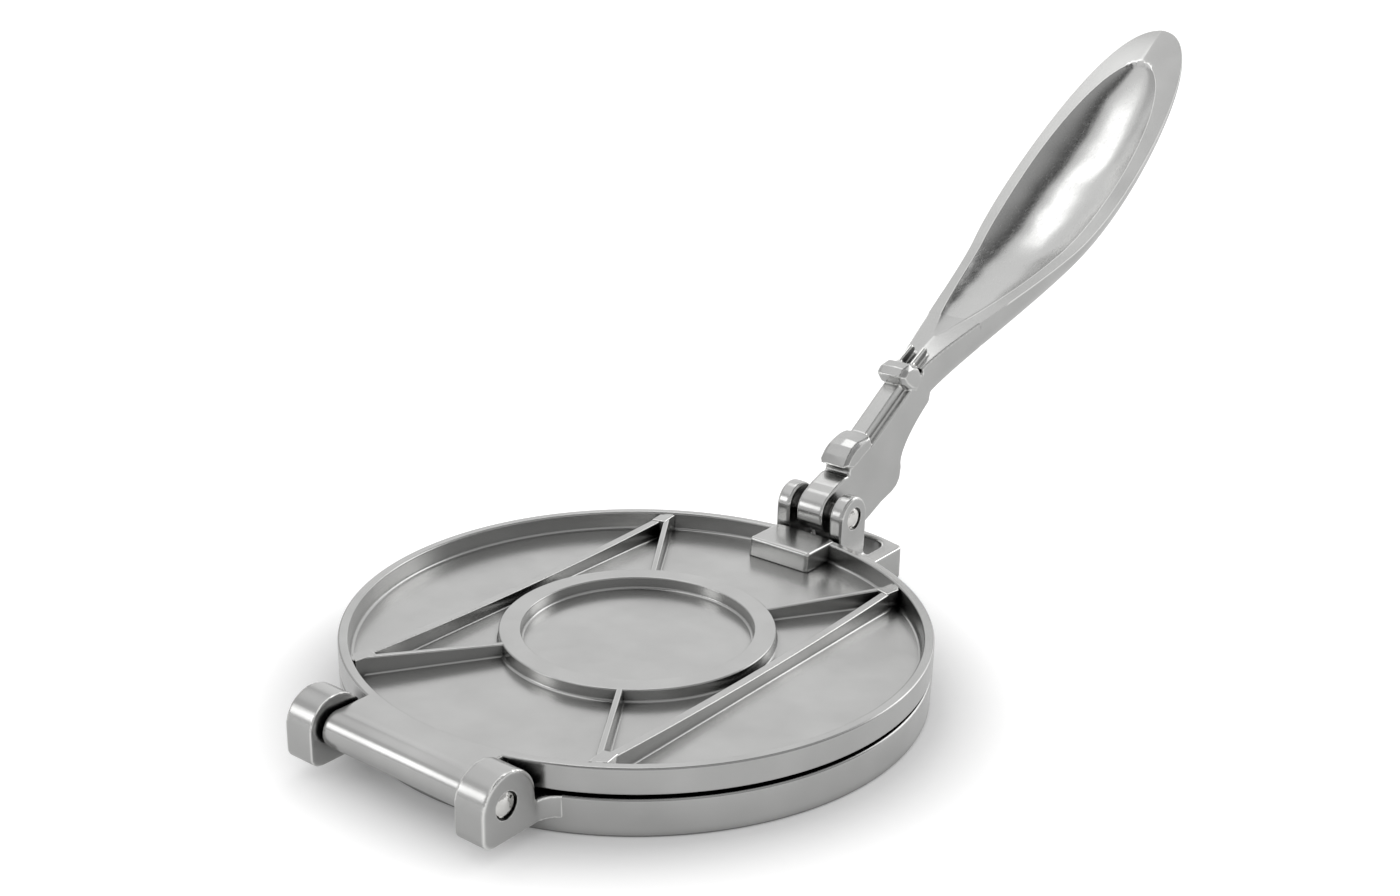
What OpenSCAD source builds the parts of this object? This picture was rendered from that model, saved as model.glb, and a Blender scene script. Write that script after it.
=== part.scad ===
// Lever-operated tortilla press, satin cast aluminium
// Two round pressing plates joined by a hinge at -X, closed by a long
// hand lever that pivots in a clevis at +X.
// Millimetres. Origin: centre of the base on its resting plane, +Z up,
// +X from the hinge towards the lever, press closed, lever leaning back.

/* [Plates] */
// radius of both pressing plates
plate_r = 82.5; // [80:0.5:85]
// height of the pressing face of the base above the table
base_h = 10.6; // [10.2:0.1:10.8]
// daylight between the two closed pressing faces
plate_gap = 1.1; // [0.9:0.1:1.5]
// thickness of the pressing floor of the upper plate
floor_t = 1.6; // [1.5:0.1:2.4]
// height of the upper plate, from pressing face to rim top
pan_h = 7.3; // [7:0.1:7.6]
// thickness of the upper plate's rim
rim_t = 2.9; // [2.4:0.1:3.4]

/* [Ribs of the upper plate] */
// outer radius of the centre ring
ring_r = 38.8; // [34:0.2:39]
// width of the centre ring
ring_w = 6.1; // [4:0.1:8]
// height of the centre ring above the pan floor
ring_h = 3.7; // [2.5:0.1:4]
// distance of each straight rib from the hinge-to-lever centreline
chord_y = 43; // [42:0.1:46]
// thickness of the straight ribs
rib_t = 2.9; // [2:0.1:3.5]
// thickness of the spokes
spoke_t = 2; // [1.6:0.1:3]
// height of the ribs at the rim, above the pan floor
rib_h = 5.3; // [4:0.1:5.4]
// dip of the straight ribs at mid-length
rib_dip = 1.6; // [1:0.1:2.4]

/* [Hinge] */
// distance of the hinge axis behind the plate centre
hinge_x = 88.9; // [88.8:0.1:90]
// height of the hinge axis
hinge_z = 13.9; // [13.7:0.1:14.1]
// radius of the barrel on the upper plate's tongue
barrel_r = 5.2; // [5:0.1:5.4]
// length of the barrel
barrel_l = 48; // [47:0.5:52]
// radius of the rounded heads of the hinge lugs
lug_r = 8.8; // [8.4:0.1:8.8]
// distance of a lug head's centre ahead of the hinge axis
lug_ahead = 1; // [0.6:0.1:1]
// distance of a lug head's centre below the hinge axis
lug_drop = 0.5; // [0.2:0.1:0.5]
// distance between the outer faces of the lugs
lug_span = 69.4; // [68.4:0.5:75.4]
// side gap between barrel and lug
lug_gap = 1.1; // [0.6:0.1:1.5]
// height of the lugs' feet above the table
lug_foot = 4.4; // [0:0.1:4.6]
// radius of the hinge pin
hinge_pin_r = 3.15; // [2.8:0.05:3.2]

/* [Lever clevis] */
// distance of the lever pivot in front of the plate centre
pivot_x = 90.2; // [90:0.1:90.8]
// height of the lever pivot
pivot_z = 24.4; // [24.2:0.1:24.8]
// half-length of a clevis ear, also its top radius
ear_r = 7; // [6.4:0.1:7]
// thickness of a clevis ear
ear_t = 5; // [4:0.1:6]
// distance between the outer faces of the ears
ear_span = 25; // [24.6:0.1:26]
// end of the lever bracket
bracket_x = 113; // [112:0.5:116]
// width of the lever bracket
bracket_w = 38; // [35:0.5:38.5]
// radius of the lever pin
lever_pin_r = 3.2; // [2.8:0.05:3.3]

/* [Lever] */
// thickness of the lever's web
web_t = 9.6; // [9:0.1:10]
// radius of the lever's knuckle
knuckle_r = 7; // [6.6:0.1:7.1]
// widest half-width of the grip
grip_w = 23; // [18:0.2:24]
// depth of the grip's belly where the lever leaves the shank
belly_d = 13; // [11:0.5:14]
// widest half-width of the polished bowl
bowl_w = 18.2; // [14:0.2:18.4]
// depth of the bowl
bowl_d = 6.4; // [4:0.2:7]
// slope of the grip's face from its edges up to the centreline, in degrees
face_slope = 7; // [0:0.5:9]

/* [Hidden] */
$fn = 96;
eps = 0.01;
run = 0.06;
press_z = base_h + plate_gap;
pan_z = press_z + floor_t;
rim_z = press_z + pan_h;
rim_in = plate_r - rim_t;
lug_t = (lug_span - barrel_l) / 2 - lug_gap;
lug_back = -hinge_x + lug_ahead - lug_r;
corner_x = sqrt((rim_in - 0.4) * (rim_in - 0.4) - chord_y * chord_y);
corner_a = atan(chord_y / corner_x);
corner_r = rim_in - 0.4;
alu = [0.74, 0.74, 0.73];
steel = [0.85, 0.85, 0.86];

// Turns a profile drawn in X and Z into a slab of thickness t across Y.
module across(t) {
    translate([0, t / 2, 0])
        rotate([90, 0, 0])
            linear_extrude(t) children();
}

// Solid cylinder across the press, centred on the X-Z plane.
module axle(r, len) {
    rotate([90, 0, 0]) cylinder(r = r, h = len, center = true);
}

// Rectangle with rounded corners, from p to q.
module round_rect(p, q, r) {
    for (x = [p[0] + r, q[0] - r])
        for (y = [p[1] + r, q[1] - r])
            translate([x, y]) circle(r);
    translate([p[0] + r, p[1]]) square([q[0] - p[0] - 2 * r, q[1] - p[1]]);
    translate([p[0], p[1] + r]) square([q[0] - p[0], q[1] - p[1] - 2 * r]);
}

// ---------- base casting ----------

// Round lower plate, hollow underneath, with a bevelled pressing edge.
module base_disc() {
    rotate_extrude()
        polygon([
            [0, base_h - 4], [plate_r - 4.5, base_h - 4],
            [plate_r - 4, base_h - 4.5], [plate_r - 3.6, 0.4],
            [plate_r - 3.2, 0], [plate_r - 0.7, 0], [plate_r - 0.2, 0.5],
            [plate_r, base_h - 0.7], [plate_r - 0.7, base_h], [0, base_h]
        ]);
}

// Hub, stiffening ring and radial ribs of the hollow underside, all
// ending level with the foot ring.
module underside_ribs() {
    h = base_h - 3;
    cylinder(r = 9, h = h);
    difference() {
        cylinder(r = 42, h = h);
        translate([0, 0, -1]) cylinder(r = 39, h = h + 2);
    }
    for (a = [0 : 45 : 315])
        rotate(a) translate([6, -1.25, 0]) cube([73.5, 2.5, h]);
}

// Side profile of a hinge lug: raised foot, upright back, rounded head
// and an arm that runs into the plate through a small hollow fillet.
module lug_profile() {
    foot_r = 3.1;
    f = 1;
    translate([-hinge_x + lug_ahead, hinge_z - lug_drop]) circle(lug_r);
    translate([lug_back, lug_foot + foot_r])
        square([2 * lug_r, hinge_z - lug_drop - lug_foot - foot_r]);
    translate([lug_back + foot_r, lug_foot + foot_r]) circle(foot_r);
    translate([lug_back + foot_r, lug_foot])
        square([-72 - lug_back - foot_r, base_h - lug_foot]);
    difference() {
        translate([lug_back + 2 * lug_r - 1, base_h - 1]) square([f + 1, f + 1]);
        translate([lug_back + 2 * lug_r + f, base_h + f]) circle(f);
    }
}

// One hinge lug; s is the side of the centreline it stands on.
module lug(s) {
    inner = barrel_l / 2 + lug_gap;
    intersection() {
        translate([0, s * (inner + lug_t / 2), 0])
            across(lug_t) lug_profile();
        linear_extrude(40)
            round_rect(
                [lug_back, s > 0 ? inner : -inner - lug_t],
                [-60, s > 0 ? inner + lug_t : -inner], 1.4);
    }
}

// Hollow corner, seen from above, between a lug's outer face and the plate.
module lug_root(s) {
    f = 6;
    side = lug_span / 2;
    cx = -sqrt((plate_r + f) * (plate_r + f) - (side + f) * (side + f));
    k = plate_r / (plate_r + f);
    translate([0, 0, lug_foot + 0.2])
        linear_extrude(base_h - lug_foot - 0.5)
            difference() {
                polygon([
                    [cx, s * side], [cx, s * (side - 1)], [-68, s * (side - 1)],
                    [cx * k + 3, s * ((side + f) * k - 3)], [cx * k, s * (side + f) * k]
                ]);
                translate([cx, s * (side + f)]) circle(f + 0.02);
            }
}

// Plan of the lever bracket in front of the plate, its end slightly bowed.
module bracket_plan() {
    intersection() {
        round_rect([60, -bracket_w / 2], [bracket_x - 2, bracket_w / 2], 3);
        translate([bracket_x - 48, 0]) circle(48, $fn = 360);
    }
    intersection() {
        translate([60, -bracket_w / 2 + 3]) square([60, bracket_w - 6]);
        translate([bracket_x - 48, 0]) circle(48, $fn = 360);
    }
}

// Window behind the ears, round towards the end bar.
module window_plan() {
    wx = pivot_x + ear_r;
    w = bracket_w / 2 - 5.5;
    translate([wx, -w]) square([bracket_x - wx - 3.4 - 6, 2 * w]);
    intersection() {
        round_rect([wx - 6, -w], [bracket_x - 3.4, w], 6);
        translate([wx, -w]) square([40, 2 * w]);
    }
}

// Clevis ear, round-headed, standing on the bracket.
module ear_profile() {
    translate([pivot_x, pivot_z]) circle(ear_r);
    translate([pivot_x - ear_r, 2]) square([2 * ear_r, pivot_z - 2]);
}

// Bracket with two ears and the sill the lever leans back on.
module lever_bracket() {
    difference() {
        linear_extrude(base_h) bracket_plan();
        translate([0, 0, -1])
            linear_extrude(base_h - 3)
                round_rect([62, -bracket_w / 2 + 3.2], [pivot_x + ear_r - 3, bracket_w / 2 - 3.2], 2);
        translate([0, 0, -1]) linear_extrude(40) window_plan();
        translate([0, 0, -1]) cylinder(r = plate_r - 2, h = 40);
    }
    for (s = [-1, 1])
        translate([0, s * (ear_span - ear_t) / 2, 0])
            difference() {
                across(ear_t) ear_profile();
                translate([0, 0, -10]) cylinder(r = plate_r - 2, h = 40);
            }
    translate([pivot_x + 2, -ear_span / 2 + 1, base_h - 3])
        cube([ear_r - 2, ear_span - 2, 4.1]);
    for (s = [-1, 1])
        translate([0, s * (ear_span / 2 - eps), 0]) ear_foot(s);
}

// Hollow fillet at the foot of an ear's outer face.
module ear_foot(s) {
    f = 1.6;
    translate([pivot_x - ear_r, 0, base_h])
        intersection() {
            difference() {
                translate([0, s > 0 ? 0 : -f, 0]) cube([2 * ear_r, f, f]);
                translate([-1, s * f, f])
                    rotate([0, 90, 0]) cylinder(r = f, h = 2 * ear_r + 2);
            }
        }
}

// Base: lower plate, hinge lugs, lever bracket and both cross bores.
module base() {
    color(alu)
        difference() {
            union() {
                base_disc();
                underside_ribs();
                for (s = [-1, 1]) {
                    lug(s);
                    lug_root(s);
                }
                lever_bracket();
            }
            translate([-hinge_x, 0, hinge_z]) axle(hinge_pin_r, 200);
            translate([pivot_x, 0, pivot_z]) axle(lever_pin_r, 60);
            for (s = [-1, 1]) {
                translate([-hinge_x, s * lug_span / 2, hinge_z])
                    axle(hinge_pin_r + 0.5, 2.4);
                translate([pivot_x, s * ear_span / 2, pivot_z])
                    axle(lever_pin_r + 0.5, 1.6);
            }
        }
}

// ---------- upper plate casting ----------

// Shallow round pan: pressing floor and upright rim with bevelled lips.
module pan() {
    rotate_extrude()
        polygon([
            [0, press_z], [plate_r - 0.5, press_z], [plate_r, press_z + 0.5],
            [plate_r, rim_z - 0.5], [plate_r - 0.5, rim_z],
            [rim_in + 0.5, rim_z], [rim_in, rim_z - 0.5],
            [rim_in - 0.4, pan_z + 0.9], [rim_in - 1.2, pan_z], [0, pan_z]
        ]);
}

// Broad flat ring around the middle of the pan.
module centre_ring() {
    h = pan_z + ring_h;
    rotate_extrude()
        polygon([
            [ring_r - ring_w - 0.5, pan_z - 1], [ring_r + 0.5, pan_z - 1],
            [ring_r + 0.5, pan_z], [ring_r, pan_z + 0.5],
            [ring_r, h - 0.3], [ring_r - 0.3, h],
            [ring_r - ring_w + 0.3, h], [ring_r - ring_w, h - 0.3],
            [ring_r - ring_w, pan_z + 0.5], [ring_r - ring_w - 0.5, pan_z]
        ]);
}

// Straight rib from rim to rim, its top edge hollowed in a long arc.
module chord_rib() {
    dip_r = (corner_x * corner_x + rib_dip * rib_dip) / (2 * rib_dip);
    difference() {
        translate([-corner_x - 1, -rib_t / 2, pan_z - 1])
            cube([2 * corner_x + 2, rib_t, rib_h + 1]);
        translate([0, 0, pan_z + rib_h - rib_dip + dip_r])
            axle(dip_r, rib_t + 2, $fn = 720);
    }
}

// Spoke from the ring up to a corner where a straight rib meets the rim.
module spoke() {
    across(spoke_t)
        polygon([
            [ring_r - 1, pan_z - 1], [corner_r + 0.4, pan_z - 1],
            [corner_r + 0.4, pan_z + rib_h],
            [corner_r - 5, pan_z + rib_h], [ring_r - 1, pan_z + ring_h]
        ]);
}

// Gusset just under the rib tops where rib, spoke and rim come together.
module corner_pad() {
    translate([0, 0, pan_z - 1])
        linear_extrude(rib_h + 0.9)
            polygon([
                [corner_x - 5.5, chord_y + rib_t / 2 - 0.3],
                [corner_x - 5, chord_y - 2.8],
                [corner_x + 1, chord_y - 2], [corner_x - 1.5, chord_y + 2]
            ]);
}

// Thrust block at the rim that the lever's cam nose bears on, its front
// leaning back a little.
module thrust_block() {
    top = rim_z + 0.4;
    difference() {
        across(22)
            polygon([
                [66.7, pan_z - 1], [86, pan_z - 1], [86, top], [67.5, top]
            ]);
        translate([0, 0, pan_z - 2])
            difference() {
                cylinder(r = 120, h = 20);
                cylinder(r = plate_r - 0.6, h = 20);
            }
    }
}

// Flat tongue from the rim to the hinge barrel.
module tongue() {
    w = barrel_l;
    difference() {
        translate([-hinge_x, -w / 2, press_z]) cube([14, w, rim_z - press_z]);
        translate([0, 0, press_z - 1]) cylinder(r = rim_in + 1, h = 20);
    }
    translate([-hinge_x, 0, hinge_z]) axle(barrel_r, w);
}

// Upper plate: pan, ribs, thrust block, tongue and bored barrel.
module upper_plate() {
    color(alu)
        difference() {
            union() {
                pan();
                centre_ring();
                for (s = [-1, 1])
                    translate([0, s * chord_y, 0]) chord_rib();
                for (a = [corner_a, 180 - corner_a, 180 + corner_a, -corner_a])
                    rotate(a) spoke();
                for (mx = [0, 1])
                    for (my = [0, 1])
                        mirror([mx, 0, 0]) mirror([0, my, 0]) corner_pad();
                thrust_block();
                tongue();
            }
            translate([-hinge_x, 0, hinge_z]) axle(hinge_pin_r + run, barrel_l + 2);
        }
}

// ---------- lever casting ----------

// Point at parameter t on the cubic curve with control points p.
function bezier(p, t) =
    pow(1 - t, 3) * p[0] + 3 * pow(1 - t, 2) * t * p[1]
    + 3 * (1 - t) * t * t * p[2] + t * t * t * p[3];
// Direction of that curve at t, unit length.
function slope(p, t) =
    let (d = pow(1 - t, 2) * (p[1] - p[0]) + 2 * (1 - t) * t * (p[2] - p[1])
        + t * t * (p[3] - p[2]))
    d / norm(d);

// Centreline of the grip's face, in X and Z: it sags out of the shank,
// then sweeps up to the tip.
root_curve = [[138.9, 60.1], [153.9, 68.1], [189.4, 77.3], [208.7, 86]];
tip_curve = [[208.7, 86], [233.4, 96.9], [286, 134.6], [311, 153.8]];
split = 0.38;
function face_point(u) =
    u < split ? bezier(root_curve, u / split)
        : bezier(tip_curve, (u - split) / (1 - split));
function face_dir(u) =
    u < split ? slope(root_curve, u / split)
        : slope(tip_curve, (u - split) / (1 - split));

// Leaf plan of the grip: swells from the web, closes in a half ellipse.
widest = 0.61;
shank_w = web_t / 2 + 0.25;
function half_width(u) =
    u < widest
        ? shank_w + (grip_w - shank_w) * pow(sin(90 * u / widest), 1.4)
        : max(1.5, grip_w * sqrt(1 - pow((u - widest) / (1 - widest), 2)));
// Depth of the belly under the face, easing out towards the tip.
function belly(u) =
    max(1.6, (belly_d - 3.6 * u) * sqrt(1 - pow(u, 5)));
// Squareness of the belly: boxy at the web, oval in the hand.
function squareness(u) = 2.4 + 3 * pow(1 - min(1, u / 0.45), 2);
// The bowl: pointed towards the shank, half-elliptical towards the tip.
bowl_from = 0.1;
bowl_to = 0.89;
function bowl_half(u) =
    u <= bowl_from || u >= bowl_to ? 0
        : u < widest
            ? bowl_w * pow(sin(90 * (u - bowl_from) / (widest - bowl_from)), 0.75)
            : bowl_w * sqrt(1 - pow((u - widest) / (bowl_to - widest), 2));

// Cross-section of the grip at u, as [across, below the face] points.
bowl_n = 12;
belly_n = 14;
function section(u) =
    let (w = half_width(u), b = belly(u), q = 2 / squareness(u),
        bw = bowl_half(u), e = bw > 0.5 ? bw : 0.8 * w,
        d = bw > 0.5 ? bowl_d * pow(bw / bowl_w, 1.2) : 0)
    concat(
        [for (i = [0 : bowl_n])
            let (k = -cos(180 * i / bowl_n))
            [e * k, (w - e * abs(k)) * tan(face_slope) - d * (1 - pow(abs(k), 2.2))]],
        [for (i = [0 : belly_n])
            let (a = 180 * i / belly_n, c = cos(a))
            [w * sign(c) * pow(abs(c), q), -b * pow(abs(sin(a)), q)]]
    );

// Grip: the sections lofted along the face centreline, with each end
// closed by a fan about a point inside it.
module grip() {
    steps = 36;
    n = bowl_n + belly_n + 2;
    function place(u, s) =
        let (p = face_point(u), d = face_dir(u))
        [p[0] - s[1] * d[1], s[0], p[1] + s[1] * d[0]];
    rings = [for (i = [0 : steps]) let (u = sin(90 * i / steps))
        [for (s = section(u)) place(u, s)]];
    last = (steps + 1) * n;
    polyhedron(
        points = concat(
            [for (r = rings) for (p = r) p],
            [place(0, [0, -belly(0) / 2]), place(1, [0, -belly(1) / 2])]
        ),
        faces = concat(
            [for (j = [0 : n - 1]) [(j + 1) % n, j, last]],
            [for (i = [0 : steps - 1]) for (j = [0 : n - 1])
                let (k = (j + 1) % n)
                [i * n + j, (i + 1) * n + k, (i + 1) * n + j]],
            [for (i = [0 : steps - 1]) for (j = [0 : n - 1])
                let (k = (j + 1) % n)
                [i * n + j, i * n + k, (i + 1) * n + k]],
            [for (j = [0 : n - 1])
                [steps * n + j, steps * n + (j + 1) % n, last + 1]]
        ),
        convexity = 6
    );
}

// Outline of the deep web in X and Z: neck, undercut, shank ledge, then
// back along the spine to the heel.
spine_curve = [[129.7, 28.8], [125.9, 35.5], [149.6, 54.5], [176.4, 60.3]];
module web_profile() {
    translate([pivot_x, pivot_z]) circle(knuckle_r);
    polygon(concat(
        [
            [86.5, 30.2], [90.9, 32.6], [96, 34.4], [98.2, 34.3],
            [98.6, 36.3], [101.3, 40.3], [110.1, 40.9], [130.4, 53],
            [136.7, 56.4], [141.6, 59.7], [147.5, 59.2]
        ],
        [for (i = [9 : -1 : 0]) bezier(spine_curve, i / 16)],
        [
            [129.2, 24.9], [127.5, 22.6], [124.7, 21.1], [118.3, 19.3],
            [111.8, 16.5], [101.8, 12.8], [98, 12], [94.6, 12],
            [pivot_x, pivot_z]
        ]
    ));
}

// Cam nose: a block with a faint centre ridge, proud of the web.
module nose_profile() {
    polygon([
        [95.2, 37.8], [97.2, 40.6], [99.8, 43], [103, 44.3], [106.7, 44.4],
        [109.2, 44.9], [110.9, 41.8], [105, 38.8], [101.3, 38.3], [99.1, 36.1]
    ]);
}

// Raised bar down the middle of the shank.
module bar_profile() {
    polygon([
        [103.4, 43.4], [108.2, 44.2], [127.7, 56.3], [133.5, 57.3], [131.3, 51.2],
        [109.8, 39.2]
    ]);
}

// Faceted collar between shank and grip.
module collar_profile() {
    polygon([
        [133.1, 53.8], [128.1, 57.1], [126.3, 60], [128.4, 62.4],
        [132.1, 63.2], [136.8, 61.6], [139.3, 57.4], [136.7, 53.2]
    ]);
}

// Narrow ridge on the face just above the collar.
module pad_profile() {
    polygon([
        [133.5, 59.3], [135.3, 62.2], [143.4, 66.2], [145.1, 64.7],
        [142.1, 60.2]
    ]);
}

// Lever: bored knuckle and web, nose, shank, collar and spoon grip.
module lever() {
    color(alu)
        union() {
            difference() {
                union() {
                    across(web_t) web_profile();
                    across(web_t + 1.2) nose_profile();
                    across(6) bar_profile();
                    across(web_t + 1.4) collar_profile();
                    for (s = [-1, 1])
                        translate([0, s * 2.4, 0]) across(1.3) pad_profile();
                }
                translate([pivot_x, 0, pivot_z])
                    axle(lever_pin_r + run, web_t + 4);
            }
            grip();
        }
}

// ---------- pins ----------

// Plain steel pin with two low domed heads, len over the heads.
module domed_pin(r, len) {
    cap = 0.9;
    dome_r = (r * r + cap * cap) / (2 * cap);
    axle(r, len - 2 * cap);
    for (s = [-1, 1])
        intersection() {
            translate([0, s * (len / 2 - dome_r), 0]) sphere(dome_r);
            translate([0, s * (len / 2 - cap), 0]) axle(r, 2 * cap);
        }
}

// Long pin through both hinge lugs and the barrel.
module hinge_pin() {
    color(steel)
        translate([-hinge_x, 0, hinge_z])
            domed_pin(hinge_pin_r, lug_span + 0.6);
}

// Short pin through the clevis ears and the lever's knuckle.
module lever_pin() {
    color(steel)
        translate([pivot_x, 0, pivot_z])
            domed_pin(lever_pin_r, ear_span + 0.8);
}

base();
upper_plate();
lever();
hinge_pin();
lever_pin();
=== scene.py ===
import math

import bmesh
import bpy
from mathutils import Matrix, Quaternion, Vector


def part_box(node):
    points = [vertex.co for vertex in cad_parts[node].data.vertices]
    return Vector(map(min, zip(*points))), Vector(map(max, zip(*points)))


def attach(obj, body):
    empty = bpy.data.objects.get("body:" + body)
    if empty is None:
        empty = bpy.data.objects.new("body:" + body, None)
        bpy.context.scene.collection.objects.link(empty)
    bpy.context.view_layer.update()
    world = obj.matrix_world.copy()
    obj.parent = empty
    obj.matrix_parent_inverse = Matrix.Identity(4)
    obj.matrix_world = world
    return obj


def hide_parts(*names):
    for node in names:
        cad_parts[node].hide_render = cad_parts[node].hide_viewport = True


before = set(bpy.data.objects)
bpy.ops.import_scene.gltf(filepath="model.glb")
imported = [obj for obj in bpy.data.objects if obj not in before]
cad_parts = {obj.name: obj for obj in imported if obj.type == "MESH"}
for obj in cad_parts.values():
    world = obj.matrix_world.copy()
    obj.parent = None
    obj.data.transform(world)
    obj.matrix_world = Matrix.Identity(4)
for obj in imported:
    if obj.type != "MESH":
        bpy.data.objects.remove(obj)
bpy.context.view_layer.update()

# --- Base casting ---------------------------------------------------------------------
# Round lower plate with its two hinge lugs and the lever bracket, one sand casting in
# aluminium. It is fettled and tumbled, so every edge ends slightly rounded and satin.

mm = 0.001
plate_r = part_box("upper_plate")[1].y / mm
base_h = 10.6
hinge_x, hinge_z = 88.9, 13.9
lug_r, lug_ahead, lug_drop, lug_foot, lug_in, lug_out = 8.8, 1.0, 0.5, 4.4, 25.1, 34.7
pivot_x, pivot_z = 90.2, 24.4
ear_r, ear_in, ear_out = 7.0, 7.5, 12.5
bracket_x, bracket_half, window_half = 113.0, 19.0, 13.5
hinge_pin_r, lever_pin_r = 3.15, 3.2


def linear(hex_colour):
    """An sRGB hex colour as a linear RGBA value."""
    channels = [int(hex_colour[i:i + 2], 16) / 255 for i in (1, 3, 5)]
    return [c / 12.92 if c <= 0.04045 else ((c + 0.055) / 1.055) ** 2.4 for c in channels] + [1]


def add_node(tree, kind, links=None, **settings):
    """Adds one node. A setting named like an attribute sets the node, any other sets the
    input of that name; links maps an input's name or index to the output that feeds it."""
    node = tree.nodes.new(kind)
    later = {}
    for name, value in settings.items():
        if hasattr(node, name):
            setattr(node, name, value)
        else:
            later[name] = value
    inputs = {s.name.lower().replace(" ", "_"): s for s in reversed(node.inputs) if s.enabled}
    for name, value in later.items():
        inputs[name].default_value = value
    for name, source in (links or {}).items():
        tree.links.new(source, node.inputs[name])
    return node


def new_material(name):
    """An empty node material and its output node."""
    material = bpy.data.materials.new(name)
    material.use_nodes = True
    material.node_tree.nodes.clear()
    return material, add_node(material.node_tree, "ShaderNodeOutputMaterial")


def add_object(name, data):
    """A new object in the scene that holds the given mesh, lamp or camera."""
    holder = bpy.data.objects.new(name, data)
    bpy.context.scene.collection.objects.link(holder)
    return holder


def plain_mesh(holder):
    """The mesh that an object's modifiers leave, as a plain one."""
    bpy.context.view_layer.update()
    return bpy.data.meshes.new_from_object(holder.evaluated_get(bpy.context.evaluated_depsgraph_get()))


def discard(holder):
    """Removes a helper object and its mesh."""
    mesh = holder.data
    bpy.data.objects.remove(holder)
    bpy.data.meshes.remove(mesh)


def merge(form, solid):
    """Moves the shell of a solid into the form."""
    part = bpy.data.meshes.new("part")
    solid.to_mesh(part)
    solid.free()
    form.from_mesh(part)
    bpy.data.meshes.remove(part)


def satin_casting():
    """Sand-cast aluminium after tumbling: a soft grey sheen, with faint clouds where the
    skin was rubbed more, a fine grain from the media and shallow hollows of the sand.
    The edges that mark_edges marks are brightened in the colour, partly as wear and partly as a painted
    highlight. Corners and gaps, found by ambient occlusion, are darkened almost to black in the colour as
    painted shade."""
    material, output = new_material("satin_cast_aluminium")
    tree = material.node_tree
    place = add_node(tree, "ShaderNodeTexCoord").outputs["Object"]
    clouds = add_node(tree, "ShaderNodeTexNoise", {"Vector": place},
                      scale=1 / (17 * mm), detail=2.0, roughness=0.5)
    hollows = add_node(tree, "ShaderNodeTexNoise", {"Vector": place},
                       scale=1 / (9 * mm), detail=2.0, roughness=0.5)
    grain = add_node(tree, "ShaderNodeTexNoise", {"Vector": place},
                     scale=1 / (0.9 * mm), detail=1.5, roughness=0.6)
    colour = add_node(tree, "ShaderNodeValToRGB", {"Fac": clouds.outputs["Fac"]})
    colour.color_ramp.elements[0].position = 0.2
    colour.color_ramp.elements[0].color = linear("#B3B3B2")
    colour.color_ramp.elements[1].position = 0.8
    colour.color_ramp.elements[1].color = linear("#BFBFBE")
    # Edge mark: on rounded edges the colour brightens towards #F0F0EE, partly as wear and partly as a
    # painted highlight. Roughness also drops there.
    wear_and_highlight = add_node(tree, "ShaderNodeAttribute", attribute_name="wear_and_highlight").outputs["Fac"]
    worn_and_highlit = add_node(tree, "ShaderNodeMix", {0: wear_and_highlight, 6: colour.outputs["Color"]}, data_type="RGBA")
    worn_and_highlit.inputs[7].default_value = linear("#F0F0EE")
    # Painted shade: ambient occlusion darkens the colour towards near-black #2E2E2D in corners, creases and
    # gaps.
    painted_shade_ao = add_node(tree, "ShaderNodeAmbientOcclusion", {}, samples=8, distance=5 * mm)
    unshaded_share = add_node(tree, "ShaderNodeMapRange", {"Value": painted_shade_ao.outputs["AO"]},
                       from_min=0.22, from_max=0.68)
    # skin is the cast colour, with the painted highlight on edges and the painted shade in corners and gaps.
    skin = add_node(tree, "ShaderNodeMix", {0: unshaded_share.outputs["Result"], 7: worn_and_highlit.outputs[2]},
                    data_type="RGBA")
    skin.inputs[6].default_value = linear("#2E2E2D")
    sheen = add_node(tree, "ShaderNodeMapRange", {"Value": clouds.outputs["Fac"]},
                     from_min=0.2, from_max=0.8, to_min=0.27, to_max=0.21)
    gloss = add_node(tree, "ShaderNodeMapRange", {"Value": wear_and_highlight, "To Min": sheen.outputs["Result"]},
                     to_max=0.2)
    sand = add_node(tree, "ShaderNodeBump", {"Height": hollows.outputs["Fac"]},
                    strength=0.5, distance=0.03 * mm)
    bump = add_node(tree, "ShaderNodeBump",
                    {"Height": grain.outputs["Fac"], "Normal": sand.outputs["Normal"]},
                    strength=0.35, distance=0.004 * mm)
    shader = add_node(tree, "ShaderNodeBsdfPrincipled",
                      {"Base Color": skin.outputs[2], "Roughness": gloss.outputs["Result"],
                       "Normal": bump.outputs["Normal"]}, metallic=1.0)
    tree.links.new(shader.outputs["BSDF"], output.inputs["Surface"])
    return material


def arc(cx, cy, r, start, stop, steps=6):
    """Points along an arc, from angle start to stop in degrees."""
    return [(cx + r * math.cos(math.radians(start + (stop - start) * i / steps)),
             cy + r * math.sin(math.radians(start + (stop - start) * i / steps)))
            for i in range(steps + 1)]


def turned(form, profile, steps=240, turn=None):
    """Adds the shell that a closed outline of (radius, height) points turns about Z,
    placed by the matrix turn."""
    rings = []
    for r, z in profile:
        count = steps if r > 1e-6 else 1
        rings.append([form.verts.new((r * math.cos(math.tau * i / count),
                                      r * math.sin(math.tau * i / count), z)) for i in range(count)])
    for a, b in zip(rings, rings[1:] + rings[:1]):
        if len(a) == len(b) == 1:
            continue
        for i in range(steps):
            j = (i + 1) % steps
            corners = [a[i % len(a)], a[j % len(a)], b[j % len(b)], b[i % len(b)]]
            form.faces.new([v for k, v in enumerate(corners) if v not in corners[:k]])
    if turn is not None:
        bmesh.ops.transform(form, matrix=turn, verts=[v for ring in rings for v in ring])


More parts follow.
